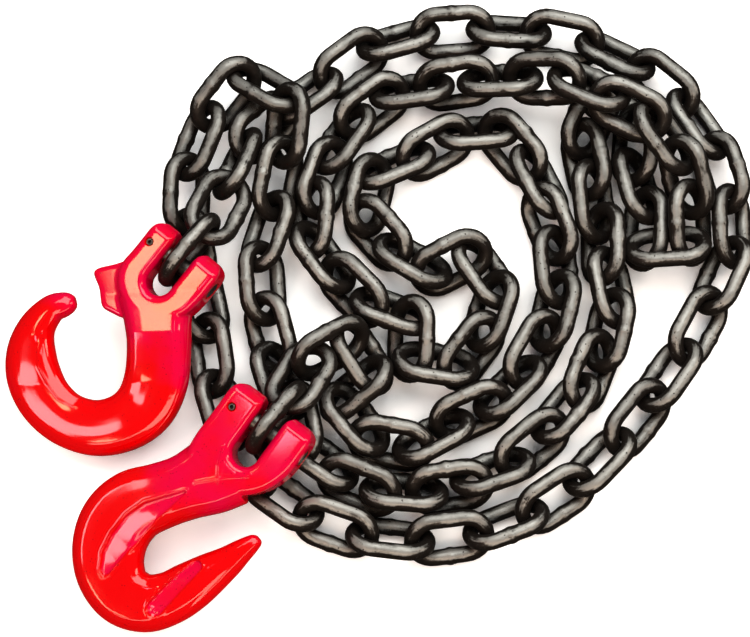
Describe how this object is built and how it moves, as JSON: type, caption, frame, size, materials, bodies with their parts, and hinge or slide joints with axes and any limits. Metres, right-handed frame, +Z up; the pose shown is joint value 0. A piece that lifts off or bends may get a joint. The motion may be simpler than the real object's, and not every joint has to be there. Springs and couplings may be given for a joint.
{
  "type": "chain with clevis hooks",
  "caption": "Length of welded round-link steel chain laid in a loose coil, with a clevis sling hook on one end and a clevis grab hook on the other.",
  "frame": {"origin": "on the floor, under the middle of the whole object's box", "axes": "+X toward the side of the coil away from the hooks, along the longest extent; +Y across the coil; +Z up"},
  "size_m": [0.4584, 0.3963, 0.0646],
  "materials": {
    "chain_steel": "heat-treated steel, dark and oily, worn bright along the tops of the links, with a weld bead on one arm of each link",
    "red_enamel": "glossy red enamel over a drop forging, with soft forged edges",
    "pin_steel": "dark oiled steel pin"
  },
  "bodies": {
    "chain": {"chain_run_01": "chain_steel", "chain_run_02": "chain_steel", "chain_run_03": "chain_steel", "chain_run_04": "chain_steel", "chain_run_05": "chain_steel", "chain_run_06": "chain_steel", "chain_run_07": "chain_steel", "chain_run_08": "chain_steel", "chain_run_09": "chain_steel", "chain_run_10": "chain_steel", "chain_run_11": "chain_steel", "chain_run_12": "chain_steel", "chain_run_13": "chain_steel", "chain_run_14": "chain_steel", "chain_run_15": "chain_steel", "chain_run_16": "chain_steel", "chain_run_17": "chain_steel", "chain_run_18": "chain_steel", "chain_run_19": "chain_steel", "chain_run_20": "chain_steel", "chain_run_21": "chain_steel", "chain_run_22": "chain_steel", "chain_run_23": "chain_steel", "chain_run_24": "chain_steel", "chain_run_25": "chain_steel", "chain_run_26": "chain_steel", "chain_run_27": "chain_steel", "chain_run_28": "chain_steel", "chain_run_29": "chain_steel", "chain_run_30": "chain_steel", "chain_run_31": "chain_steel", "chain_run_32": "chain_steel", "chain_run_33": "chain_steel", "chain_run_34": "chain_steel", "chain_run_35": "chain_steel"},
    "sling": {"sling_hook": "red_enamel", "sling_load_pin": "pin_steel", "sling_keeper_pin": "pin_steel"},
    "grab": {"grab_hook": "red_enamel", "grab_load_pin": "pin_steel", "grab_keeper_pin": "pin_steel"}
  },
  "joints": [
    {"name": "sling_swing", "type": "hinge", "parent": "chain", "child": "sling", "pos_m": [-0.12274, 0.02161, 0.045], "axis": [-0.7635, 0.6458, 0], "range_deg": [0, 90]},
    {"name": "grab_swing", "type": "hinge", "parent": "chain", "child": "grab", "pos_m": [-0.06907, -0.08248, 0.048], "axis": [-0.7946, 0.6071, 0], "range_deg": [0, 90]}
  ]
}
